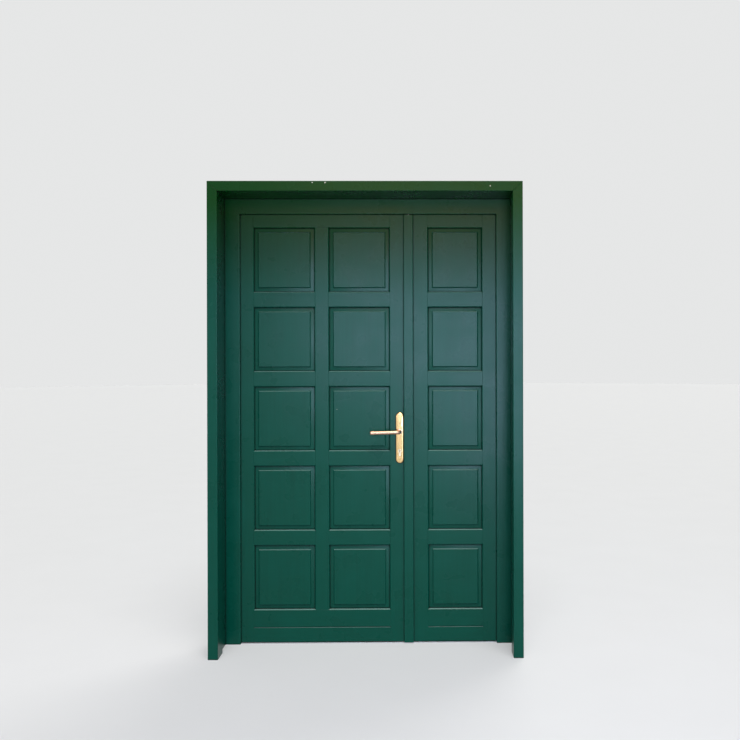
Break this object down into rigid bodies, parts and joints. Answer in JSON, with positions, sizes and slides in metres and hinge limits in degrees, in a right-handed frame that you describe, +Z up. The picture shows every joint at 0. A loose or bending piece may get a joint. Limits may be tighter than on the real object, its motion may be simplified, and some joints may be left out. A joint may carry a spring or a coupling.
{
  "type": "panelled front door",
  "caption": "Timber front door in its rebated frame with a panelled surround: wide leaf, narrow leaf, raised and fielded panels, lever handle, mortise lock and flush bolts.",
  "frame": {"origin": "On the threshold plate's underside, midway between the jambs, in the plane of the leaves' outer faces.", "axes": "+X to the right seen from outside, +Y inwards, the way the leaf opens, +Z up."},
  "size_m": [1.428, 0.324, 2.162],
  "materials": {
    "green_painted_timber": "dark green satin paint, brushed, on planed softwood",
    "polished_brass": "polished and lacquered cast brass",
    "satin_steel": "satin steel",
    "nickel_plated": "satin nickel plate on brass",
    "mill_aluminium": "mill finish flat bar",
    "black_rubber": "matt extruded rubber"
  },
  "bodies": {
    "root": {"astragal": "green_painted_timber", "bolt_keeper": "satin_steel", "flush_bolt_plates": "satin_steel", "frame_head": "green_painted_timber", "frame_jamb_left": "green_painted_timber", "frame_jamb_right": "green_painted_timber", "frame_seal": "black_rubber", "frame_side_screws": "satin_steel", "hinge_frame_leaves": "satin_steel", "hinge_pins": "satin_steel", "lining_head": "green_painted_timber", "lining_left": "green_painted_timber", "lining_right": "green_painted_timber", "passive_bottom_rail": "green_painted_timber", "passive_cross_rails": "green_painted_timber", "passive_hinge_leaves": "satin_steel", "passive_hinge_stile": "green_painted_timber", "passive_kick_rail": "green_painted_timber", "passive_meeting_stile": "green_painted_timber", "passive_panel_1": "green_painted_timber", "passive_panel_2": "green_painted_timber", "passive_panel_3": "green_painted_timber", "passive_panel_4": "green_painted_timber", "passive_panel_5": "green_painted_timber", "passive_top_rail": "green_painted_timber", "strike_plate": "satin_steel", "surround_head": "green_painted_timber", "surround_post_left": "green_painted_timber", "surround_post_right": "green_painted_timber", "threshold_plate": "mill_aluminium"},
    "active_leaf": {"active_bottom_rail": "green_painted_timber", "active_cross_rails": "green_painted_timber", "active_hinge_leaves": "satin_steel", "active_hinge_screws": "satin_steel", "active_hinge_stile": "green_painted_timber", "active_kick_rail": "green_painted_timber", "active_lock_stile": "green_painted_timber", "active_muntin": "green_painted_timber", "active_panels_row_1": "green_painted_timber", "active_panels_row_2": "green_painted_timber", "active_panels_row_3": "green_painted_timber", "active_panels_row_4": "green_painted_timber", "active_panels_row_5": "green_painted_timber", "active_top_rail": "green_painted_timber", "cylinder_body": "nickel_plated", "handle_screws": "satin_steel", "inner_backplate": "polished_brass", "lock_case": "satin_steel", "lock_faceplate": "satin_steel", "lock_screws": "satin_steel", "outer_backplate": "polished_brass"},
    "lever_set": {"outer_lever": "polished_brass", "inner_lever": "polished_brass", "spindle": "satin_steel", "lock_hub": "satin_steel"},
    "latch_bolt": {"latch_bolt": "satin_steel"},
    "dead_bolt": {"dead_bolt": "satin_steel"},
    "cylinder_plug": {"cylinder_plug": "nickel_plated"},
    "top_bolt": {"top_bolt": "satin_steel"},
    "bottom_bolt": {"bottom_bolt": "satin_steel"}
  },
  "joints": [
    {"name": "active_leaf_swing", "type": "hinge", "parent": "root", "child": "active_leaf", "pos_m": [-0.62325, 0.0575, 1.03], "axis": [0, 0, 1], "range_deg": [0, 100]},
    {"name": "lever_turn", "type": "hinge", "parent": "active_leaf", "child": "lever_set", "pos_m": [0.149, 0.025, 1.0095], "axis": [0, -1, 0], "range_deg": [0, 45], "stiffness_Nm_per_rad": 1, "springref_deg": -68.75},
    {"name": "latch_slide", "type": "slide", "parent": "active_leaf", "child": "latch_bolt", "axis": [-1, 0, 0], "range_m": [0, 0.012]},
    {"name": "key_turn", "type": "hinge", "parent": "active_leaf", "child": "cylinder_plug", "pos_m": [0.149, 0.025, 0.9175], "axis": [0, 1, 0], "range_deg": [0, 360]},
    {"name": "dead_bolt_slide", "type": "slide", "parent": "active_leaf", "child": "dead_bolt", "axis": [1, 0, 0], "range_m": [0, 0.02]},
    {"name": "top_bolt_slide", "type": "slide", "parent": "root", "child": "top_bolt", "axis": [0, 0, -1], "range_m": [0, 0.018]},
    {"name": "bottom_bolt_slide", "type": "slide", "parent": "root", "child": "bottom_bolt", "axis": [0, 0, 1], "range_m": [0, 0.018]}
  ],
  "couplings": [
    {"joint": "latch_slide", "follows": "lever_turn", "m_per_rad": 0.015278},
    {"joint": "key_turn", "follows": "dead_bolt_slide", "rad_per_m": 314.15}
  ]
}
